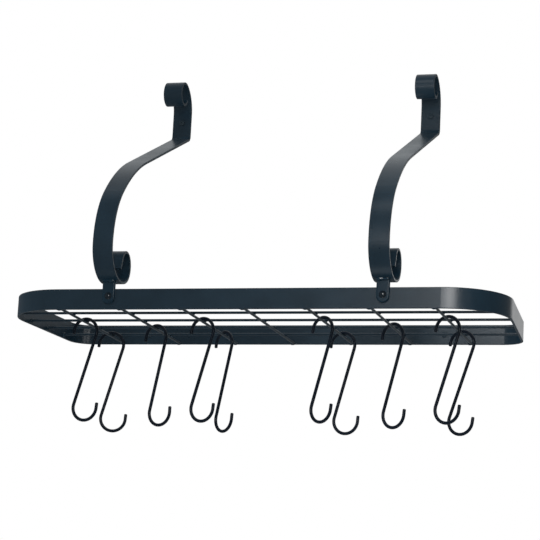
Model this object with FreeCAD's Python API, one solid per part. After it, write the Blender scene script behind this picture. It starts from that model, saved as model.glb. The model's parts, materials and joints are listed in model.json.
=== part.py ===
import FreeCAD
import Part
import math
import os

from FreeCAD import Vector

# Wall-mounted pot rack: a ring of flat bar round a welded wire grid, held to the wall by two scrolled arms
# and hung with S-hooks. Millimetres and degrees. The wall is the plane y = 0, the rack stands out towards -Y,
# +X is to the right and +Z is up. The origin lies midway between the screw holes of the two arms.

# Flat bar, the same stock in the ring and the arms
bar_width = 25.0
bar_thickness = 3.0
bar_edge_radius = 0.6

# Shelf ring, over its outside. Its ends draw in a little towards the wall, so it is longer in front than at
# the back. Both lengths run to where the straight sides would meet.
ring_front_length = 625.0
ring_back_length = 593.5
ring_depth = 240.0
front_corner_radius = 72.0
back_corner_radius = 27.5
back_screw_spacing = 390.0

# Wire grid: crossbars run from front to back, and the long wires lie across them. The outer crossbars stand
# in from the ends of the ring's front, and the others are spread evenly between.
grid_wire_diameter = 3.2
crossbar_count = 7
crossbar_end_distance = 83.0
long_wire_count = 4

# Arms, with radii along the middle of the bar's thickness
arm_spacing = 336.0
arm_slope = 24.5
plate_bend_radius = 8.0
plate_height = 34.5
screw_hole_height = 22.7
screw_hole_diameter = 5.5
bow_top_radius = 240.0
bow_top_turn = 23.0
bow_foot_radius = 101.0
bow_foot_turn = 44.0

# Foot scroll: it rolls back towards the wall, tighter as it goes, and ends in a short straight tip
foot_scroll_radius = 39.2
foot_scroll_turn = 111.5
foot_back_radius = 22.0
foot_back_turn = 85.0
foot_top_radius = 14.0
foot_top_turn = 142.0
foot_tip_length = 16.0
foot_scroll_rise = 7.9
foot_scroll_setback = 7.5

# Head scroll: it rolls forward from the top of the wall plate
head_back_radius = 35.0
head_back_turn = 70.0
head_front_radius = 17.0
head_front_turn = 105.0
head_tip_radius = 13.0
head_tip_turn = 170.0

# Tabs that carry the front of the ring, and their bolts
tab_width = 16.0
tab_thickness = 3.0
tab_edge_radius = 2.0
tab_bolt_rise = 3.4
tab_foot_drop = 1.4
bolt_diameter = 5.0
bolt_hole_clearance = 0.4
bolt_head_diameter = 8.8
bolt_head_height = 2.6
bolt_overhang = 1.5
nut_width = 8.0
nut_height = 4.0
nut_chamfer = 0.5
nut_thread_clearance = 0.04

# S-hooks, with the loop radius along the middle of the wire
hook_wire_diameter = 4.0
hook_loop_radius = 16.0
hook_loop_spacing = 95.0
hook_loop_turn = 191.5
hook_upper_tail = 4.0
hook_lower_tail = 7.0
hook_tip_radius = 1.2
hook_bar_clearance = 0.3

# Where the hooks hang: crossbar, long wire behind the hook (both counted from 1, wires from the wall),
# distance in front of that wire, turn about the vertical, and lean of the hook's foot to the right
hook_places = (
    (1, 3, 6.0, -7.5, 3.5),
    (1, 1, 6.6, 8.0, 4.9),
    (2, 2, 8.2, -20.0, 7.6),
    (3, 3, 8.0, -16.5, 3.2),
    (3, 1, 11.2, -35.0, 4.3),
    (5, 3, 13.3, -29.0, 1.5),
    (5, 1, 6.4, -10.0, 4.7),
    (6, 2, 18.0, -26.5, 3.2),
    (7, 3, 16.9, -19.0, 1.4),
    (7, 1, 16.4, -16.5, 0.5),
)


def along(heading):
    """Unit step in a drawing, at an angle from its first axis towards its second."""
    return Vector(math.cos(math.radians(heading)), math.sin(math.radians(heading)), 0)


def left_of(heading):
    return along(heading + 90.0)


# The foot scroll fixes the height of the arm: it stands over the front of the ring, the bow and the sloping
# run follow on, and the run meets the middle of the wall plate at the bend. Drawn in the side view, where the
# first axis runs towards the wall and the second up from the ring's lower edge.
half_bar = bar_thickness / 2
wall_plate_y = -half_bar
slope_heading = arm_slope - 180.0
foot_scroll_centre = Vector(foot_scroll_setback - ring_depth,
                            bar_width + foot_scroll_rise + half_bar + foot_scroll_radius, 0)
bow_foot_heading = slope_heading + bow_top_turn
bow_foot_centre = (foot_scroll_centre
                   + left_of(bow_foot_heading + bow_foot_turn) * (bow_foot_radius - foot_scroll_radius))
bow_top_centre = bow_foot_centre + left_of(bow_foot_heading) * (bow_top_radius - bow_foot_radius)
bow_start = bow_top_centre - left_of(slope_heading) * bow_top_radius
slope_run = (wall_plate_y - bow_start.x) / math.cos(math.radians(arm_slope))
bend_over_ring = bow_start.y + slope_run * math.sin(math.radians(arm_slope))
bend_cut = plate_bend_radius * math.tan(math.radians(90.0 - arm_slope) / 2)

# Heights in the part's own frame
ring_low = -(bend_over_ring + screw_hole_height)
ring_high = ring_low + bar_width
bend_z = ring_low + bend_over_ring
scroll_z = ring_low + foot_scroll_centre.y
crossbar_z = ring_low + grid_wire_diameter / 2
long_wire_z = crossbar_z + grid_wire_diameter
bolt_z = (ring_low + ring_high) / 2 + tab_bolt_rise
tab_foot_z = bolt_z - tab_foot_drop

# Places along X and Y
ring_front = -ring_depth
scroll_y = foot_scroll_centre.x
tab_front = ring_front - tab_thickness
arm_x = (-arm_spacing / 2, arm_spacing / 2)
outer_crossbar_x = ring_front_length / 2 - crossbar_end_distance
crossbar_x = [outer_crossbar_x * (2 * i / (crossbar_count - 1) - 1) for i in range(crossbar_count)]
long_wire_y = [-ring_depth * (i + 1) / (long_wire_count + 1) for i in range(long_wire_count)]


def in_side_view(point):
    """Place of a drawn point whose first axis runs towards the wall."""
    return Vector(0, point.x, point.y)


def in_front_view(point):
    """Place of a drawn point whose first axis runs to the right."""
    return Vector(point.x, 0, point.y)


def trace(start, heading, moves, view, side=0.0):
    """Edges of a path of straight runs and tangent arcs, shifted to the left by side.

    A move is (length,) for a run or (radius, turn) for an arc, and a positive turn is to the left.
    The end of the unshifted path and its heading come back with the edges.
    """
    edges = []
    point = start
    for move in moves:
        if len(move) == 1:
            shift = left_of(heading) * side
            end = point + along(heading) * move[0]
            edges.append(Part.LineSegment(view(point + shift), view(end + shift)).toShape())
            point = end
        else:
            radius, turn = move
            hand = math.copysign(1.0, turn)
            centre = point + left_of(heading) * (hand * radius)
            reach = side - hand * radius
            stops = [centre + left_of(heading + part * turn) * reach for part in (0.0, 0.5, 1.0)]
            edges.append(Part.Arc(*[view(stop) for stop in stops]).toShape())
            heading += turn
            point = centre - left_of(heading) * (hand * radius)
    return edges, point, heading


def backwards(moves):
    """The same moves for a path that is walked from its other end."""
    return [move if len(move) == 1 else (move[0], -move[1]) for move in reversed(moves)]


def rod(start, end, diameter):
    return Part.makeCylinder(diameter / 2, (end - start).Length, start, end - start)


def along_y(x, z, diameter, front, back):
    """Round bar or cutter from front to back between two depths."""
    return rod(Vector(x, front, z), Vector(x, back, z), diameter)


def rounded_block(inset, low, high):
    """Block with the ring's plan, drawn in all round by inset, between two heights."""
    draw_in = (ring_front_length - ring_back_length) / 2 / ring_depth
    end_inset = inset * math.hypot(1.0, draw_in)
    front_x = ring_front_length / 2 - draw_in * inset - end_inset
    back_x = ring_back_length / 2 + draw_in * inset - end_inset
    front_y, back_y = ring_front + inset, -inset
    corners = [Vector(-front_x, front_y, low), Vector(front_x, front_y, low), Vector(back_x, back_y, low),
               Vector(-back_x, back_y, low)]
    block = Part.Face(Part.makePolygon(corners + corners[:1])).extrude(Vector(0, 0, high - low))
    for radius, y in ((front_corner_radius, front_y), (back_corner_radius, back_y)):
        uprights = [edge for edge in block.Edges if edge.BoundBox.ZLength > bar_edge_radius
                    and abs(edge.CenterOfMass.y - y) < bar_edge_radius]
        block = block.makeFillet(radius - inset, uprights)
    return block


def shelf_ring():
    ring = rounded_block(0.0, ring_low, ring_high).cut(rounded_block(bar_thickness, ring_low, ring_high))
    rims = [edge for edge in ring.Edges if edge.BoundBox.ZLength < bar_edge_radius]
    ring = ring.makeFillet(bar_edge_radius, rims)
    for x in arm_x:
        ring = ring.cut(along_y(x, bolt_z, bolt_diameter + bolt_hole_clearance, tab_front, ring_front / 2))
    middle = (ring_low + ring_high) / 2
    for x in (-back_screw_spacing / 2, back_screw_spacing / 2):
        ring = ring.cut(along_y(x, middle, screw_hole_diameter, ring_front / 2, bar_width))
    return ring


def inside_ring():
    """The space inside the ring, which the ends of the grid wires are cut to."""
    return rounded_block(bar_thickness, ring_low - bar_width, ring_high)


def crossbar(x):
    bar = along_y(x, crossbar_z, grid_wire_diameter, ring_front, 0)
    return bar.common(inside_ring()).Solids[0]


def long_wire(y):
    reach = ring_front_length / 2
    wire = rod(Vector(-reach, y, long_wire_z), Vector(reach, y, long_wire_z), grid_wire_diameter)
    return wire.common(inside_ring()).Solids[0]


def arm(x):
    """Flat bar bent in the side view, from the tip of the head scroll to the tip of the foot scroll."""
    head = [(head_back_radius, head_back_turn), (head_front_radius, head_front_turn),
            (head_tip_radius, head_tip_turn)]
    plate_top = Vector(wall_plate_y, bend_z + plate_height, 0)
    _, tip, tip_heading = trace(plate_top, 90.0, head, in_side_view)
    moves = backwards(head) + [
        (plate_height - bend_cut,),
        (plate_bend_radius, arm_slope - 90.0),
        (slope_run - bend_cut,),
        (bow_top_radius, bow_top_turn),
        (bow_foot_radius, bow_foot_turn),
        (foot_scroll_radius, foot_scroll_turn),
        (foot_back_radius, foot_back_turn),
        (foot_top_radius, foot_top_turn),
        (foot_tip_length,),
    ]
    left, _, _ = trace(tip, tip_heading + 180.0, moves, in_side_view, half_bar)
    right, _, _ = trace(tip, tip_heading + 180.0, moves, in_side_view, -half_bar)
    corners = [(left[i].Vertexes[i].Point, right[i].Vertexes[i].Point) for i in (0, -1)]
    ends = [Part.LineSegment(*pair).toShape() for pair in corners]
    outline = Part.Wire(Part.__sortEdges__(left + right + ends))
    bar = Part.Face(outline).extrude(Vector(bar_width, 0, 0))
    bar.translate(Vector(x - bar_width / 2, 0, 0))
    long_edges = [edge for edge in bar.Edges
                  if edge.BoundBox.XLength < bar_edge_radius and not math.isclose(edge.Length, bar_thickness)]
    bar = bar.makeFillet(bar_edge_radius, long_edges)
    return bar.cut(along_y(x, 0.0, screw_hole_diameter, -2 * bar_thickness, bar_thickness))


def tab(x):
    """Strip on the front of the ring: round foot, round front edges, and a top cut to the foot scroll."""
    corner = Vector(x - tab_width / 2, tab_front, tab_foot_z)
    strip = Part.makeBox(tab_width, tab_thickness, scroll_z - tab_foot_z, corner)
    strip = strip.fuse(along_y(x, tab_foot_z, tab_width, tab_front, ring_front)).removeSplitter()
    front_rim = [edge for edge in strip.Edges
                 if edge.BoundBox.YMax < ring_front - tab_thickness / 2 and edge.BoundBox.ZMin < bolt_z]
    strip = strip.makeFillet(tab_edge_radius, front_rim)
    scroll = rod(Vector(x - tab_width, scroll_y, scroll_z), Vector(x + tab_width, scroll_y, scroll_z),
                 2 * foot_scroll_radius + bar_thickness)
    hole = along_y(x, bolt_z, bolt_diameter + bolt_hole_clearance, 2 * tab_front, 0)
    return strip.cut(scroll).cut(hole).Solids[0]


def tab_bolt(x):
    """Domed bolt, with its head on the tab and its end past the nut."""
    shank = tab_thickness + bar_thickness + nut_height + bolt_overhang
    rim, radius = bolt_head_diameter / 2, bolt_diameter / 2
    dome = (bolt_head_height ** 2 + rim ** 2) / (2 * bolt_head_height)
    half_angle = math.asin(rim / dome) / 2
    shoulder = Vector(dome * math.sin(half_angle), dome - bolt_head_height - dome * math.cos(half_angle), 0)
    crown, edge = Vector(0, -bolt_head_height, 0), Vector(rim, 0, 0)
    line = [Part.Arc(crown, shoulder, edge).toShape()]
    corners = [edge, Vector(radius, 0, 0), Vector(radius, shank, 0), Vector(0, shank, 0), crown]
    line += [Part.LineSegment(a, b).toShape() for a, b in zip(corners, corners[1:])]
    bolt = Part.Face(Part.Wire(line)).revolve(Vector(0, 0, 0), Vector(0, 1, 0), 360)
    bolt.translate(Vector(x, tab_front, bolt_z))
    return bolt


def tab_nut(x):
    """Hexagon nut against the inside of the ring."""
    corner = nut_width / math.sqrt(3)
    points = [in_front_view(along(60.0 * i) * corner) for i in range(7)]
    nut = Part.Face(Part.makePolygon(points)).extrude(Vector(0, nut_height, 0))
    turned = along_y(0, 0, 2 * corner, 0, nut_height)
    rims = [edge for edge in turned.Edges if edge.BoundBox.YLength < nut_chamfer]
    nut = nut.common(turned.makeChamfer(nut_chamfer, rims))
    nut = nut.cut(along_y(0, 0, bolt_diameter + nut_thread_clearance, -nut_height, 2 * nut_height))
    nut.translate(Vector(x, ring_front + bar_thickness, bolt_z))
    return nut.Solids[0]


def hook_place(place):
    """Point on the crossbar's axis that this hook swings about."""
    bar, wire, distance = place[:3]
    return Vector(crossbar_x[bar - 1], long_wire_y[wire - 1] - distance, crossbar_z)


def s_hook(place):
    """Round wire bent to an S: two loops joined by the straight run that touches both."""
    seat = (grid_wire_diameter + hook_wire_diameter) / 2 + hook_bar_clearance
    loop_centre = Vector(0, seat - hook_loop_radius, 0)
    overlap = math.asin(2 * hook_loop_radius / hook_loop_spacing)
    shaft = hook_loop_spacing * math.cos(overlap)
    heading = hook_loop_turn - 90.0 - math.degrees(overlap)
    moves = [(hook_upper_tail,), (hook_loop_radius, -hook_loop_turn), (shaft,),
             (hook_loop_radius, hook_loop_turn), (hook_lower_tail,)]
    start = loop_centre + left_of(heading) * hook_loop_radius - along(heading) * hook_upper_tail
    path, _, _ = trace(start, heading, moves, in_front_view)
    section = Part.Circle(in_front_view(start), in_front_view(along(heading)), hook_wire_diameter / 2)
    hook = Part.Wire(path).makePipeShell([Part.Wire([section.toShape()])], True, False)
    tips = [face.Edges[0] for face in hook.Faces if isinstance(face.Surface, Part.Plane)]
    hook = hook.makeFillet(min(hook_tip_radius, hook_wire_diameter / 3), tips)
    turn, lean = place[3:]
    hook.rotate(Vector(0, 0, 0), Vector(0, 1, 0), -lean)
    hook.rotate(Vector(0, 0, 0), Vector(0, 0, 1), turn)
    hook.translate(hook_place(place))
    return hook


def pieces():
    """Every node of the rack by name."""
    nodes = {"shelf_ring": shelf_ring()}
    for i, x in enumerate(crossbar_x, 1):
        nodes[f"crossbar_{i}"] = crossbar(x)
    for i, y in enumerate(long_wire_y, 1):
        nodes[f"long_wire_{i}"] = long_wire(y)
    for side, x in zip(("left", "right"), arm_x):
        nodes[f"{side}_arm"] = arm(x)
        nodes[f"{side}_tab"] = tab(x)
    nodes["tab_bolts"] = Part.makeCompound([tab_bolt(x) for x in arm_x])
    nodes["tab_nuts"] = Part.makeCompound([tab_nut(x) for x in arm_x])
    for i, place in enumerate(hook_places, 1):
        nodes[f"hook_{i:02d}"] = s_hook(place)
    return nodes


os.makedirs("parts", exist_ok=True)
for name, shape in pieces().items():
    shape.exportStep(f"parts/{name}.step")
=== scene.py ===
"""Looks of the wall-mounted pot rack: coated steel, welds, wall screws and a plain stage."""

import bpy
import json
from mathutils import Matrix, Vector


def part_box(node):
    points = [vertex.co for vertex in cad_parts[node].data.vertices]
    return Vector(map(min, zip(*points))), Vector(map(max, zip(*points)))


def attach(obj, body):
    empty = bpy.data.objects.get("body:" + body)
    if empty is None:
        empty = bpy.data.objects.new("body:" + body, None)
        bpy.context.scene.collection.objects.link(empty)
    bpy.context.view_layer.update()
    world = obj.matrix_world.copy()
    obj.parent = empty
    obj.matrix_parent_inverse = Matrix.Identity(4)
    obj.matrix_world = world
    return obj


bl_info = {
    "name": "Wall Pot Rack",
    "version": (1, 0, 0),
    "blender": (4, 5, 0),
    "location": "3D View > Sidebar > Pot Rack",
    "description": "Coats the steel of the pot rack, adds its welds and wall screws, and sets the stage",
    "category": "Object",
}

import bmesh
import bpy
import json
import math
from bpy.props import FloatProperty, FloatVectorProperty, PointerProperty
from collections import namedtuple
from mathutils import Matrix, Vector

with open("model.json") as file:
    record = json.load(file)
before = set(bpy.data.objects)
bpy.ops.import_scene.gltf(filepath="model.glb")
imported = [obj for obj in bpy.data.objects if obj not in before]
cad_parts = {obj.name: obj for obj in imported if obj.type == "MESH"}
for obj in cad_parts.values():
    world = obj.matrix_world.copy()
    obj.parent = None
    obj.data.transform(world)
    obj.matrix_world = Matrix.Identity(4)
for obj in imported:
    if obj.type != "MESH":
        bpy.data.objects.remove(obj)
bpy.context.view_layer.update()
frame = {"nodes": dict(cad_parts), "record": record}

MM = 0.001
SQUARE_ON = 0.9  # part of a normal along an axis, above which a face looks that way

# Nodes and places that come from the frame
crossbars = sorted(name for name in frame["nodes"] if name.startswith("crossbar_"))
long_wires = sorted(name for name in frame["nodes"] if name.startswith("long_wire_"))
hooks = sorted(name for name in frame["nodes"] if name.startswith("hook_"))
hook_foot = min(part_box(name)[0].z for name in hooks)
ring_low, ring_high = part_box("shelf_ring")
ring_middle = (ring_low + ring_high) / 2
ring_half_height = (ring_high.z - ring_low.z) / 2
arm_low, arm_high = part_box("right_arm")
arm_x = (arm_low.x + arm_high.x) / 2
arm_half_width = (arm_high.x - arm_low.x) / 2
# A crossbar ends on the inside of the back band, whose back is on the wall at y = 0
band_thickness = -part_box(crossbars[0])[1].y


def length(name, description, default):
    return FloatProperty(name=name, description=description, default=default, unit="LENGTH", precision=5)


def angle(name, description, degrees):
    return FloatProperty(name=name, description=description, default=math.radians(degrees), subtype="ANGLE")


def share(name, description, default):
    return FloatProperty(name=name, description=description, default=default, min=0, max=1,
                         subtype="FACTOR")


def power(name, description, default):
    return FloatProperty(name=name, description=description, default=default, unit="POWER", precision=4)


def colour(name, description, default):
    return FloatVectorProperty(name=name, description=description, default=default, min=0, max=1, size=3,
                               subtype="COLOR")


def position(name, description, default):
    return FloatVectorProperty(name=name, description=description, default=default, size=3,
                               subtype="TRANSLATION", precision=4)


class PotRackFinish(bpy.types.PropertyGroup):
    """Colours and surface of the coated steel."""

    coat: colour("Coat", "Powder coat of the rack and its welds", (0.0062, 0.0186, 0.0304))
    hook: colour("Hook coat", "Paint of the hooks", (0.0033, 0.0068, 0.0130))
    fastener: colour("Fasteners", "Black finish of bolts and nuts", (0.0045, 0.0085, 0.0130))
    screw: colour("Wall screws", "Dull finish of the wall screws", (0.0130, 0.0250, 0.0350))
    rub: colour("Rubbed edges", "Coat that is rubbed thin along an edge", (0.060, 0.066, 0.072))
    dust: colour("Dust", "Fine dust on faces that look up", (0.060, 0.062, 0.062))
    roughness: share("Roughness", "Roughness of the satin coat and of the hooks", 0.30)
    bead_roughness: share("Bead roughness", "Roughness of bolts, nuts and weld beads", 0.14)
    screw_roughness: share("Screw roughness", "Roughness of the wall screws", 0.55)
    gloss: share("Gloss", "How much the coat reflects", 0.50)
    tab_gloss: share("Tab gloss", "How much the coat on the tabs reflects", 0.24)
    hook_gloss: share("Hook gloss", "How much the paint of the hooks reflects", 0.25)
    fastener_gloss: share("Fastener gloss", "How much bolts and nuts reflect", 0.80)
    weld_gloss: share("Weld gloss", "How much the coat on a weld reflects", 0.55)
    screw_gloss: share("Screw gloss", "How much the wall screws reflect", 0.25)
    peel_width: length("Peel width", "Width of the ripples in the powder coat", 1.4 * MM)
    peel_depth: length("Peel depth", "Depth of the ripples in the powder coat", 0.02 * MM)
    grain_width: length("Grain width", "Width of the fine grain in the coat", 0.35 * MM)
    cloud_width: length("Cloud width", "Width of the clouds in the tone of the coat", 60 * MM)
    speck_width: length("Speck width", "Width of the specks in dust and wear", 3 * MM)
    rub_start: length("Rub start", "Distance from an edge at which rubbing begins", 1.2 * MM)
    rub_full: length("Rub full", "Distance from an edge within which the coat is rubbed most", 0.3 * MM)


class PotRackWelds(bpy.types.PropertyGroup):
    """Sizes of the weld beads."""

    tab_radius: length("Tab bead", "Radius of the bead between a tab and its scroll", 2.8 * MM)
    tab_margin: length("Tab margin", "How far that bead stops short of the sides of its tab", 0.4 * MM)
    end_reach: length("End bead reach", "Half length of the bead at the end of a crossbar", 3.4 * MM)
    end_radius: length("End bead radius", "Thickness of the bead at the end of a crossbar", 1.7 * MM)
    collar_radius: length("Collar radius", "Radius of the bead round the end of a long wire", 3.0 * MM)
    collar_depth: length("Collar depth", "How far that bead runs along the wire", 1.8 * MM)
    collar_sink: length("Collar sink", "How far that bead runs into the ring", 1.2 * MM)
    nugget_radius: length("Nugget radius", "Radius of the weld where two wires cross", 2.5 * MM)


class PotRackScrews(bpy.types.PropertyGroup):
    """Sizes of the wall screws."""

    head_radius: length("Head radius", "Radius of the pan head", 3.7 * MM)
    head_height: length("Head height", "Height of the pan head", 1.7 * MM)
    shank_radius: length("Shank radius", "Radius of the plain shank", 2.1 * MM)
    recess_width: length("Recess width", "Width across the cross recess", 2.8 * MM)
    recess_slot: length("Recess slot", "Width of one slot of the recess", 0.8 * MM)
    recess_depth: length("Recess depth", "Depth of the recess", 0.8 * MM)


class PotRackStage(bpy.types.PropertyGroup):
    """Floor, light and camera."""

    floor_drop: length("Floor drop", "Height of the screw holes of the arms over the floor", 3.3)
    floor_size: length("Floor size", "Side of the floor", 2.8)
    floor_near: length("Fade start", "Distance from its middle at which the floor begins to fade", 0.4)
    floor_far: length("Fade end", "Distance from its middle at which the floor is clear", 1.35)
    floor_colour: colour("Floor", "Pale floor", (0.84, 0.84, 0.83))
    ambient: FloatProperty(name="Ambient", description="Even light from all round", default=0.82, min=0)
    tint: colour("Light tint", "Colour of the light from all round", (0.94, 0.98, 1.0))
    tilt: share("Light tilt", "How far that light is shifted from the right to the left", 0.60)
    room: share("Room", "Brightness of the room that gloss shows in front of the rack", 0.11)
    screen: share("Screen", "Brightness of the screen that gloss shows behind the rack", 0.72)
    screen_foot: share("Screen foot", "Share of that brightness at the foot of the screen", 0.10)
    key_power: power("Key lamp", "Power of the soft lamp in front", 1.32)
    spark_power: power("Spark lamp", "Power of the small lamp high in front", 1.2)
    top_power: power("Top lamp", "Power of the wide lamp overhead", 3.0)
    edge_power: power("Edge lamp", "Power of the lamp behind on the right", 0.060)
    corner_power: power("Corner lamp", "Power of the narrow lamp on the back left bend", 0.0125)
    camera_place: position("Camera place", "Where the camera stands", (0.7006, -2.5940, -0.7608))
    camera_turn: angle("Camera turn", "How far the camera looks to the left", 15.88)
    camera_lift: angle("Camera lift", "How far the camera looks up", 11.75)
    camera_roll: angle("Camera roll", "Turn of the camera about its line of sight", 2.83)
    lens: FloatProperty(name="Lens", description="Focal length", default=141.81, unit="CAMERA")
    sensor: FloatProperty(name="Sensor", description="Width of the sensor", default=36.0, unit="CAMERA")


class Shade:
    """A socket in a node tree. Sums and products of sockets and numbers add Math nodes."""

    def __init__(self, tree, socket=None):
        self.tree = tree
        self.socket = socket

    def node(self, kind, settings=(), inputs=(), output=0):
        """Adds a node, with its settings first and then the values or links of its sockets."""
        made = self.tree.nodes.new(kind)
        for name, value in dict(settings).items():
            setattr(made, name, value)
        for name, value in dict(inputs).items():
            if isinstance(value, Shade):
                self.tree.links.new(value.socket, made.inputs[name])
            else:
                made.inputs[name].default_value = value
        return Shade(self.tree, made.outputs[output])

    def feed(self, socket):
        self.tree.links.new(self.socket, socket)

    def math(self, operation, *values):
        return self.node("ShaderNodeMath", {"operation": operation}, enumerate(values))

    def __add__(self, other):
        return self.math("ADD", self, other)

    __radd__ = __add__

    def __sub__(self, other):
        return self.math("SUBTRACT", self, other)

    def __rsub__(self, other):
        return self.math("SUBTRACT", other, self)

    def __mul__(self, other):
        return self.math("MULTIPLY", self, other)

    __rmul__ = __mul__

    def __abs__(self):
        return self.math("ABSOLUTE", self)


def solid(rgb):
    return (*rgb, 1.0)


def shaded(tint, factor):
    return [factor * channel for channel in tint]


def blend(factor, first, second):
    """Colour between two colours, each a socket or three numbers.

    The colours of a Mix node are its inputs 6 and 7 and its output 2, after those for numbers and vectors.
    """
    first, second = (tint if isinstance(tint, Shade) else solid(tint) for tint in (first, second))
    return factor.node("ShaderNodeMix", {"data_type": "RGBA"}, {0: factor, 6: first, 7: second}, output=2)


def noise(place, width, detail=2.0):
    """Soft noise from 0 to 1, with lumps about this wide."""
    return place.node("ShaderNodeTexNoise", inputs={"Vector": place, "Scale": 1 / width, "Detail": detail})


def rise(value, low, high):
    """Smooth step from 0 at low to 1 at high."""
    return value.node("ShaderNodeMapRange", {"interpolation_type": "SMOOTHSTEP"},
                      {"Value": value, "From Min": low, "From Max": high})


def axes(place):
    return [place.node("ShaderNodeSeparateXYZ", inputs={"Vector": place}, output=i) for i in range(3)]


def new_material(name):
    """A material with its Principled shader, and its Object place and normal as sockets."""
    material = bpy.data.materials.new(name)
    material.use_nodes = True
    tree = material.node_tree
    coordinates = Shade(tree).node("ShaderNodeTexCoord", output="Object")
    facing = Shade(tree, coordinates.socket.node.outputs["Normal"])
    return material, tree.nodes["Principled BSDF"], coordinates, facing


# How strongly clouds, specks, dust and rubbing show in a coat
CLOUD_TONES = (0.82, 1.22)
CLOUD_ROUGHNESS = 0.10
SPECK_ROUGHNESS = 0.06
DUST_COVER = 0.35
DUST_ROUGHNESS = 0.2
RUB_COVER = 0.06
RUB_ROUGHNESS = 0.14
GRAIN_SHARE = 0.25
RELIEF_STRENGTH = 0.5

# Ranges over which the noise, or the upward look of a face, brings these in
CLOUD_RANGE = (0.25, 0.75)
DUST_LOOK_RANGE = (0.55, 0.95)
DUST_PATCH_RANGE = (0.45, 0.95)
DUST_SPECK_SHARE = 0.4
RUB_SPECK_RANGE = (0.40, 0.62)
NOISE_MEAN = 0.5


def coated_steel(name, tint, roughness, gloss, peel_share=1.0, rubbed=None):
    """Coat with soft ripples, a cloudy tone and dust on top, rubbed thin where rubbed says.

    peel_share is how much of the finish's peel depth the ripples have. rubbed takes the Object place and
    normal, and gives 1 where the coat is rubbed and 0 elsewhere.
    """
    finish = bpy.context.scene.pot_rack_finish
    material, shader, place, facing = new_material(name)
    clouds = noise(place, finish.cloud_width, detail=3.0)
    specks = noise(place, finish.speck_width, detail=4.0)
    peel = noise(place, finish.peel_width, detail=1.0)
    grain = noise(place, finish.grain_width)

    patches = rise(clouds + DUST_SPECK_SHARE * specks, *DUST_PATCH_RANGE)
    dusty = rise(axes(facing)[2], *DUST_LOOK_RANGE) * patches * DUST_COVER
    tone = blend(rise(clouds, *CLOUD_RANGE), *(shaded(tint, factor) for factor in CLOUD_TONES))
    tone = blend(dusty, tone, finish.dust)
    rough = roughness + CLOUD_ROUGHNESS * (clouds - NOISE_MEAN) + SPECK_ROUGHNESS * (specks - NOISE_MEAN)
    rough = rough + DUST_ROUGHNESS * dusty
    if rubbed:
        worn = rubbed(place, facing) * rise(specks, *RUB_SPECK_RANGE)
        tone = blend(worn * RUB_COVER, tone, finish.rub)
        rough = rough + RUB_ROUGHNESS * worn
    tone.feed(shader.inputs["Base Color"])
    rough.feed(shader.inputs["Roughness"])

    relief = peel + GRAIN_SHARE * grain
    depth = peel_share * finish.peel_depth
    bump = relief.node("ShaderNodeBump",
                       inputs={"Strength": RELIEF_STRENGTH, "Distance": depth, "Height": relief})
    bump.feed(shader.inputs["Normal"])
    shader.inputs["Specular IOR Level"].default_value = gloss
    return material


def near_edge(distance, half):
    """1 along an edge that lies half a width from the middle, for a distance from that middle."""
    finish = bpy.context.scene.pot_rack_finish
    return rise(distance, half - finish.rub_start, half - finish.rub_full)


def band_edges(place, facing):
    """Upper and lower edge of the ring."""
    return near_edge(abs(axes(place)[2] - ring_middle.z), ring_half_height)


def arm_edges(place, facing):
    """Both edges of each arm."""
    return near_edge(abs(abs(axes(place)[0]) - arm_x), arm_half_width)


def hook_seats(place, facing):
    """Inside of the loops, where a hook rubs on its bar and a pot's handle rubs on the hook."""
    top_range = (ring_low.z - 2 * MM, ring_low.z + 3 * MM)
    foot_range = (hook_foot + 8 * MM, hook_foot + 16 * MM)
    look_range = (0.2, 0.7)
    height, look = axes(place)[2], axes(facing)[2]
    top = rise(height, *top_range) * rise(0 - look, *look_range)
    foot = (1 - rise(height, *foot_range)) * rise(look, *look_range)
    return top + foot


def dress(nodes, material):
    for name in nodes:
        for slot in frame["nodes"][name].material_slots:
            slot.material = material


class POTRACK_OT_coat_steel(bpy.types.Operator):
    """Coat the ring, the arms, the grid and the tabs."""

    bl_idname = "pot_rack.coat_steel"
    bl_label = "Coat the Steel"

    def execute(self, context):
        finish = context.scene.pot_rack_finish
        satin = (finish.coat, finish.roughness)
        dress(["shelf_ring"], coated_steel("ring_coat", *satin, finish.gloss, rubbed=band_edges))
        dress(["left_arm", "right_arm"], coated_steel("arm_coat", *satin, finish.gloss, rubbed=arm_edges))
        dress([*crossbars, *long_wires], coated_steel("grid_coat", *satin, finish.gloss))
        dress(["left_tab", "right_tab"], coated_steel("tab_coat", *satin, finish.tab_gloss))
        return {"FINISHED"}


class POTRACK_OT_coat_hooks(bpy.types.Operator):
    """Coat the hooks."""

    bl_idname = "pot_rack.coat_hooks"
    bl_label = "Coat the Hooks"

    def execute(self, context):
        finish = context.scene.pot_rack_finish
        dress(hooks, coated_steel("hook_coat", finish.hook, finish.roughness, finish.hook_gloss,
                                  peel_share=0.25, rubbed=hook_seats))
        return {"FINISHED"}


class POTRACK_OT_coat_fasteners(bpy.types.Operator):
    """Blacken the bolts and nuts."""

    bl_idname = "pot_rack.coat_fasteners"
    bl_label = "Blacken the Fasteners"

    def execute(self, context):
        finish = context.scene.pot_rack_finish
        coat = coated_steel("fastener_coat", finish.fastener, finish.bead_roughness, finish.fastener_gloss,
                            peel_share=0.1)
        dress(["tab_bolts", "tab_nuts"], coat)
        return {"FINISHED"}


def deselect():
    bpy.ops.object.select_all(action="DESELECT")


def choose(piece):
    """Makes a piece the only one that operators act on."""
    deselect()
    piece.select_set(True)
    bpy.context.view_layer.objects.active = piece


def edit(piece):
    choose(piece)
    bpy.ops.object.mode_set(mode="EDIT")


def done():
    bpy.ops.object.mode_set(mode="OBJECT")


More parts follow.
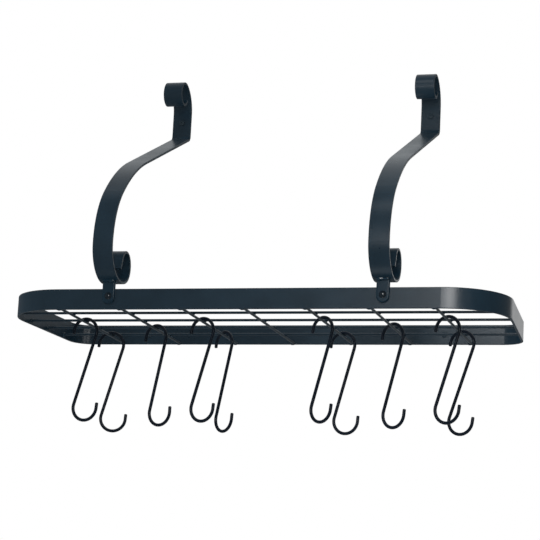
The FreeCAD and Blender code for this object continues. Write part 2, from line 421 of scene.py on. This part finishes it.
def pick(piece, kind, wanted):
    """Selects, in edit mode, the points, edges or faces for which wanted says yes."""
    bpy.ops.mesh.select_mode(type=kind)
    bpy.ops.mesh.select_all(action="DESELECT")
    mesh = bmesh.from_edit_mesh(piece.data)
    for part in {"VERT": mesh.verts, "EDGE": mesh.edges, "FACE": mesh.faces}[kind]:
        part.select_set(bool(wanted(part)))
    mesh.select_flush_mode()
    bmesh.update_edit_mesh(piece.data)


def stretch(x, y, z, centre=(0, 0, 0)):
    bpy.ops.transform.resize(value=(x, y, z), center_override=centre)


def extrude(x, y, z):
    bpy.ops.mesh.extrude_region_move(TRANSFORM_OT_translate={"value": (x, y, z)})


def settle(piece):
    """Puts a piece's place, turn and size into its mesh."""
    choose(piece)
    bpy.ops.object.transform_apply(location=True, rotation=True, scale=True)


def round_off(piece, levels):
    """Subdivides a piece and shades it smooth."""
    choose(piece)
    modifier = piece.modifiers.new("round", "SUBSURF")
    modifier.levels = modifier.render_levels = levels
    bpy.ops.object.modifier_apply(modifier=modifier.name)
    bpy.ops.object.shade_smooth()


def copies(first, places, name, coat):
    """Puts a copy of a modelled piece at each place, removes the first, and joins and coats the copies.

    The joined piece takes this name and rides on the rack.
    """
    made = []
    for place in places:
        choose(first)
        bpy.ops.object.duplicate(linked=False)
        copy = bpy.context.object
        copy.matrix_world = place
        settle(copy)
        made.append(copy)
    deselect()
    for copy in made:
        copy.select_set(True)
    bpy.context.view_layer.objects.active = made[0]
    bpy.ops.object.join()
    group = bpy.context.object
    group.name = group.data.name = name
    edit(group)
    bpy.ops.mesh.select_all(action="SELECT")
    bpy.ops.mesh.normals_make_consistent(inside=False)
    done()
    group.data.materials.clear()
    group.data.materials.append(coat)
    bpy.data.objects.remove(first)
    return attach(group, "rack")


def weld_coat():
    """The rack's coat over a weld: glossier, because the coat draws smooth over the bead."""
    made = bpy.data.materials.get("weld_coat")
    finish = bpy.context.scene.pot_rack_finish
    return made or coated_steel("weld_coat", finish.coat, finish.bead_roughness, finish.weld_gloss,
                                peel_share=0.2)


def tab_bead_swell(ring, along):
    """Thickness of a tab's bead, as a share of its radius, at a ring of points.

    The rings lie along the bead from -1 to 1. It has a large and a small lump, ripples and drawn-in ends.
    """
    lumps = ((-0.55, 1.0), (0.45, 0.1))
    lump_width = 0.4
    ripple_height = 0.04
    thinnest = 0.5
    lump = max(height * math.exp(-((along - middle) / lump_width) ** 2) for middle, height in lumps)
    ripple = 1 + ripple_height * (-1) ** ring
    drawn_in = math.sqrt(1 - along ** 6)
    return ripple * (thinnest + (1 - thinnest) * lump) * (thinnest + (1 - thinnest) * drawn_in)


class POTRACK_OT_tab_welds(bpy.types.Operator):
    """Lay a rippled bead between each tab and the scroll over it."""

    bl_idname = "pot_rack.tab_welds"
    bl_label = "Weld the Tabs"

    def execute(self, context):
        welds = context.scene.pot_rack_welds
        radius = welds.tab_radius
        low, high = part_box("right_tab")
        reach = (high.x - low.x) / 2 - welds.tab_margin
        rings = 21
        depth_share = 1.35
        front = 0.5 * radius
        front_share = 0.45
        deselect()
        bpy.ops.mesh.primitive_cylinder_add(vertices=14, radius=radius, depth=2 * reach,
                                            rotation=(0, math.pi / 2, 0))
        bead = context.object
        settle(bead)
        edit(bead)
        pick(bead, "EDGE", lambda edge: abs(edge.verts[0].co.x - edge.verts[1].co.x) > reach)
        bpy.ops.mesh.subdivide(number_cuts=rings - 2)
        for ring in range(rings):
            along = 2 * ring / (rings - 1) - 1
            x = reach * along
            swell = tab_bead_swell(ring, along)
            pick(bead, "VERT", lambda point: abs(point.co.x - x) < reach / rings)
            stretch(1, depth_share * swell, swell, (x, 0, 0))
        pick(bead, "VERT", lambda point: point.co.y < -front)
        stretch(1, front_share, 1, (0, -front, 0))
        done()
        round_off(bead, 2)
        places = []
        for name, side in (("left_tab", -1), ("right_tab", 1)):
            low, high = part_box(name)
            seat = ((low.x + high.x) / 2, low.y - front, high.z)
            places.append(Matrix.Translation(seat) @ Matrix.Scale(side, 4, (1, 0, 0)))
        copies(bead, places, "tab_welds", weld_coat())
        return {"FINISHED"}


class POTRACK_OT_crossbar_welds(bpy.types.Operator):
    """Lay a bead beside both ends of each crossbar, at the lower edge of the ring."""

    bl_idname = "pot_rack.crossbar_welds"
    bl_label = "Weld the Crossbars"

    def execute(self, context):
        welds = context.scene.pot_rack_welds
        reach, radius = welds.end_reach, welds.end_radius
        flatness = 0.9
        tail_start, tail_root, tail_shape = -0.45 * reach, -0.4 * reach, (1.15, 0.75, 0.72)
        waist_reach, waist_shape = 0.2 * reach, (1, 0.9, 0.86)
        shift, lift = -0.5 * reach, 0.3 * radius
        deselect()
        bpy.ops.mesh.primitive_uv_sphere_add(segments=16, ring_count=10, radius=radius)
        bead = context.object
        edit(bead)
        bpy.ops.mesh.select_all(action="SELECT")
        stretch(reach / radius, 1, flatness)
        pick(bead, "VERT", lambda point: point.co.x < tail_start)
        stretch(*tail_shape, (tail_root, 0, 0))
        pick(bead, "VERT", lambda point: abs(point.co.x) < waist_reach)
        stretch(*waist_shape)
        done()
        choose(bead)
        bpy.ops.object.shade_smooth()
        places = []
        for name in crossbars:
            low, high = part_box(name)
            for y in (low.y, high.y):
                places.append(Matrix.Translation(((low.x + high.x) / 2 + shift, y, low.z + lift)))
        copies(bead, places, "crossbar_welds", weld_coat())
        return {"FINISHED"}


class POTRACK_OT_long_wire_welds(bpy.types.Operator):
    """Lay a bead round both ends of each long wire."""

    bl_idname = "pot_rack.long_wire_welds"
    bl_label = "Weld the Long Wires"

    def execute(self, context):
        welds = context.scene.pot_rack_welds
        radius, sink = welds.collar_radius, welds.collar_sink
        steps = ((0.45, 0.86), (0.35, 0.82), (0.20, 0.90))
        drip_start, drip_shape = -0.5 * radius, (1, 1.06, 1.12)
        deselect()
        bpy.ops.mesh.primitive_cylinder_add(vertices=18, radius=radius, depth=sink,
                                            location=(sink / 2, 0, 0), rotation=(0, math.pi / 2, 0))
        collar = context.object
        settle(collar)
        edit(collar)
        pick(collar, "FACE", lambda face: face.normal.x < -SQUARE_ON)
        for depth_share, taper in steps:
            extrude(-depth_share * welds.collar_depth, 0, 0)
            stretch(1, taper, taper)
        pick(collar, "VERT", lambda point: point.co.z < drip_start)
        stretch(*drip_shape)
        done()
        round_off(collar, 1)
        other_way = Matrix.Rotation(math.pi, 4, "Z")
        places = []
        for name in long_wires:
            low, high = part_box(name)
            middle = (low + high) / 2
            places.append(Matrix.Translation((high.x, middle.y, middle.z)))
            places.append(Matrix.Translation((low.x, middle.y, middle.z)) @ other_way)
        copies(collar, places, "long_wire_welds", weld_coat())
        return {"FINISHED"}


class POTRACK_OT_crossing_welds(bpy.types.Operator):
    """Set a small pressed weld wherever a long wire crosses a crossbar."""

    bl_idname = "pot_rack.crossing_welds"
    bl_label = "Weld the Crossings"

    def execute(self, context):
        radius = context.scene.pot_rack_welds.nugget_radius
        flatness = 0.5
        corner_band, corner_shape = 0.2 * radius, (0.92, 0.92, 1.15)
        deselect()
        bpy.ops.mesh.primitive_uv_sphere_add(segments=16, ring_count=8, radius=radius)
        nugget = context.object
        edit(nugget)
        bpy.ops.mesh.select_all(action="SELECT")
        stretch(1, 1, flatness)
        pick(nugget, "VERT", lambda point: abs(abs(point.co.x) - abs(point.co.y)) < corner_band)
        stretch(*corner_shape)
        done()
        choose(nugget)
        bpy.ops.object.shade_smooth()
        places = []
        for bar in crossbars:
            bar_low, bar_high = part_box(bar)
            bar_x = (bar_low.x + bar_high.x) / 2
            for wire in long_wires:
                low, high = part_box(wire)
                places.append(Matrix.Translation((bar_x, (low.y + high.y) / 2, low.z)))
        copies(nugget, places, "crossing_welds", weld_coat())
        return {"FINISHED"}


def cross_cutters(screws, top):
    """Two tapered bars that cut the cross recess into a screw head whose top is at this height."""
    foot_share = 0.55
    bars = []
    for turn in (0, math.pi / 2):
        deselect()
        bpy.ops.mesh.primitive_cube_add(size=1)
        bar = bpy.context.object
        bar.dimensions = (screws.recess_width, screws.recess_slot, 2 * screws.recess_depth)
        bar.rotation_euler.z = turn
        bar.location.z = top
        settle(bar)
        edit(bar)
        pick(bar, "VERT", lambda point: point.co.z < top)
        stretch(foot_share, foot_share, 1, (0, 0, top))
        done()
        bars.append(bar)
    return bars


def screw_places():
    """Seat of each wall screw, on the front of the steel, with every recess turned another way."""
    facing_room = Matrix.Rotation(math.pi / 2, 4, "X")
    first_turn, turn_per_metre = 0.4, 3
    places = []
    for mount in frame["record"]["mounts"]:
        if mount["kind"] == "bolt_pattern":
            reach = mount["dims"]["spacing_x_mm"] * MM / 2
            for x in (-reach, reach):
                seat = Vector(mount["pos_m"]) + Vector((x, -band_thickness, 0))
                spin = Matrix.Rotation(first_turn + turn_per_metre * x, 4, "Z")
                places.append(Matrix.Translation(seat) @ facing_room @ spin)
    return places


class POTRACK_OT_wall_screws(bpy.types.Operator):
    """Set a pan-head screw with a cross recess in each wall hole, cut off at the wall."""

    bl_idname = "pot_rack.wall_screws"
    bl_label = "Set the Wall Screws"

    def execute(self, context):
        screws = context.scene.pot_rack_screws
        finish = context.scene.pot_rack_finish
        rim = 0.3 * screws.head_height
        steps = ((0.34, 0.95), (0.20, 0.87), (0.12, 0.72))
        sharp_edge = math.radians(35)
        deselect()
        bpy.ops.mesh.primitive_cylinder_add(vertices=32, radius=screws.head_radius, depth=rim,
                                            location=(0, 0, rim / 2))
        screw = context.object
        settle(screw)
        edit(screw)
        pick(screw, "FACE", lambda face: face.normal.z > SQUARE_ON)
        top = rim
        for height_share, taper in steps:
            climb = height_share * screws.head_height
            top += climb
            extrude(0, 0, climb)
            stretch(taper, taper, 1, (0, 0, top))
        pick(screw, "FACE", lambda face: face.normal.z < -SQUARE_ON)
        bpy.ops.mesh.inset(thickness=screws.head_radius - screws.shank_radius)
        extrude(0, 0, -band_thickness)
        done()
        for cutter in cross_cutters(screws, top):
            choose(screw)
            recess = screw.modifiers.new("recess", "BOOLEAN")
            recess.operation = "DIFFERENCE"
            recess.object = cutter
            bpy.ops.object.modifier_apply(modifier=recess.name)
            bpy.data.objects.remove(cutter)
        choose(screw)
        bpy.ops.object.shade_smooth_by_angle(angle=sharp_edge)
        coat = coated_steel("screw_coat", finish.screw, finish.screw_roughness, finish.screw_gloss,
                            peel_share=0.3)
        copies(screw, screw_places(), "wall_screws", coat)
        return {"FINISHED"}


# Points of the ring that lamps shine on
BEND_INSET = 20 * MM
front_bend = Vector((ring_high.x, ring_low.y, ring_middle.z))
right_end = Vector((ring_high.x, ring_middle.y, ring_middle.z))
back_bend = Vector((ring_low.x + BEND_INSET, ring_high.y - BEND_INSET, ring_middle.z))

# Where each lamp stands and points, its width and height, and the width of its beam in degrees
Lamp = namedtuple("Lamp", "place target size beam")
LAMPS = {
    "key": Lamp(front_bend + Vector((0.055, -1.15, 0.26)), front_bend, (0.45, 0.55), 75),
    "spark": Lamp(Vector((0.12, -0.90, 0.90)), ring_middle, (0.16, 0.16), 180),
    "top": Lamp(Vector((0.0, 0.4, 1.7)), ring_middle, (2.4, 1.8), 180),
    "edge": Lamp(right_end + Vector((0.24, 1.15, 0.26)), right_end, (0.55, 0.50), 50),
    "corner": Lamp(back_bend + Vector((1.35, -1.44, 0.34)), back_bend, (0.40, 0.35), 10),
}


def add_lamp(name, lamp, energy):
    bpy.ops.object.light_add(type="AREA")
    made = bpy.context.object
    made.name = made.data.name = name
    made.data.shape = "RECTANGLE"
    made.data.size, made.data.size_y = lamp.size
    made.data.energy = energy
    made.data.spread = math.radians(lamp.beam)
    made.visible_camera = False
    made.location = lamp.place
    made.rotation_euler = (lamp.target - lamp.place).to_track_quat("-Z", "Y").to_euler()


def ray_kinds(tree):
    """Camera rays, and the glossy and transmission rays that see the background too."""
    rays = Shade(tree).node("ShaderNodeLightPath").socket.node.outputs
    kinds = ("Camera", "Glossy", "Transmission")
    camera, glossy, through = (Shade(tree, rays[f"Is {kind} Ray"]) for kind in kinds)
    return camera, camera.math("MAXIMUM", glossy, through)


def white_world(stage):
    """White to the camera.

    Gloss sees a pale screen behind the rack, and a dim room in front and on the left.
    """
    # Ranges of the direction of sight over which the screen comes in
    screen_x, screen_y, screen_z = (-0.8, -0.3), (0.22, 0.82), (0.30, 0.52)
    world = bpy.data.worlds.new("white_room")
    world.use_nodes = True
    tree = world.node_tree
    tree.nodes.clear()
    camera, gloss = ray_kinds(tree)
    x, y, z = axes(camera.node("ShaderNodeTexCoord", output="Generated"))
    height = stage.screen_foot + (1 - stage.screen_foot) * rise(z, *screen_z)
    screen = rise(y, *screen_y) * rise(x, *screen_x) * height
    shown = stage.room + (stage.screen - stage.room) * screen
    ambient = stage.ambient * (1 - stage.tilt * x)
    strength = camera + (1 - camera) * (gloss * shown + (1 - gloss) * ambient)
    seen = blend(camera, stage.tint, (1, 1, 1))
    light = camera.node("ShaderNodeBackground", inputs={"Color": seen, "Strength": strength})
    light.feed(tree.nodes.new("ShaderNodeOutputWorld").inputs["Surface"])
    return world


def pale_floor(stage):
    """Pale matt floor that keeps the rack's shadow and fades out far from it."""
    cloud_width, cloud_tone, roughness = 0.5, 0.98, 0.9
    material, shader, place, _ = new_material("pale_floor")
    tree = material.node_tree
    clouds = noise(place, cloud_width, detail=3.0)
    tone = blend(clouds, shaded(stage.floor_colour, cloud_tone), stage.floor_colour)
    tone.feed(shader.inputs["Base Color"])
    shader.inputs["Roughness"].default_value = roughness
    shader.inputs["Specular IOR Level"].default_value = 0.0
    far = place.node("ShaderNodeVectorMath", {"operation": "LENGTH"}, {0: place}, output="Value")
    fade = rise(far, stage.floor_near, stage.floor_far)
    clear = place.node("ShaderNodeBsdfTransparent")
    matt = Shade(tree, shader.outputs[0])
    mixed = place.node("ShaderNodeMixShader", inputs={0: fade, 1: matt, 2: clear})
    mixed.feed(tree.nodes["Material Output"].inputs["Surface"])
    return material


class POTRACK_OT_stage(bpy.types.Operator):
    """Set the floor, the light and the camera."""

    bl_idname = "pot_rack.stage"
    bl_label = "Set the Stage"

    def execute(self, context):
        scene = context.scene
        stage = scene.pot_rack_stage
        deselect()
        bpy.ops.mesh.primitive_grid_add(x_subdivisions=8, y_subdivisions=8, size=stage.floor_size)
        floor = context.object
        floor.name = floor.data.name = "floor"
        floor.location.z = -stage.floor_drop
        floor.data.materials.append(pale_floor(stage))

        scene.world = white_world(stage)
        scene.view_settings.view_transform = "Standard"
        for name, lamp in LAMPS.items():
            add_lamp(f"{name}_lamp", lamp, getattr(stage, f"{name}_power"))

        bpy.ops.object.camera_add()
        camera = context.object
        look_ahead = Matrix.Rotation(math.pi / 2 + stage.camera_lift, 4, "X")
        camera.matrix_world = (Matrix.Translation(stage.camera_place)
                               @ Matrix.Rotation(stage.camera_turn, 4, "Z") @ look_ahead
                               @ Matrix.Rotation(stage.camera_roll, 4, "Z"))
        camera.data.lens = stage.lens
        camera.data.sensor_width = stage.sensor
        scene.camera = camera
        return {"FINISHED"}


OPERATORS = (
    POTRACK_OT_coat_steel,
    POTRACK_OT_coat_hooks,
    POTRACK_OT_coat_fasteners,
    POTRACK_OT_tab_welds,
    POTRACK_OT_crossbar_welds,
    POTRACK_OT_long_wire_welds,
    POTRACK_OT_crossing_welds,
    POTRACK_OT_wall_screws,
    POTRACK_OT_stage,
)
GROUPS = {
    "pot_rack_finish": PotRackFinish,
    "pot_rack_welds": PotRackWelds,
    "pot_rack_screws": PotRackScrews,
    "pot_rack_stage": PotRackStage,
}


class POTRACK_PT_panel(bpy.types.Panel):
    """Steps and sizes of the pot rack."""

    bl_idname = "POTRACK_PT_panel"
    bl_label = "Pot Rack"
    bl_space_type = "VIEW_3D"
    bl_region_type = "UI"
    bl_category = "Pot Rack"

    def draw(self, context):
        for operator in OPERATORS:
            self.layout.operator(operator.bl_idname)
        for name, group in GROUPS.items():
            box = self.layout.box()
            box.label(text=group.__doc__)
            for key in group.__annotations__:
                box.prop(getattr(context.scene, name), key)


def register():
    for group in GROUPS.values():
        bpy.utils.register_class(group)
    for name, group in GROUPS.items():
        setattr(bpy.types.Scene, name, PointerProperty(type=group))
    for shown in (*OPERATORS, POTRACK_PT_panel):
        bpy.utils.register_class(shown)


def unregister():
    for shown in (POTRACK_PT_panel, *reversed(OPERATORS)):
        bpy.utils.unregister_class(shown)
    for name, group in GROUPS.items():
        delattr(bpy.types.Scene, name)
        bpy.utils.unregister_class(group)


def main():
    register()
    bpy.ops.pot_rack.coat_steel()
    bpy.ops.pot_rack.coat_hooks()
    bpy.ops.pot_rack.coat_fasteners()
    bpy.ops.pot_rack.tab_welds()
    bpy.ops.pot_rack.crossbar_welds()
    bpy.ops.pot_rack.long_wire_welds()
    bpy.ops.pot_rack.crossing_welds()
    bpy.ops.pot_rack.wall_screws()
    bpy.ops.pot_rack.stage()


if __name__ == "__main__":
    main()
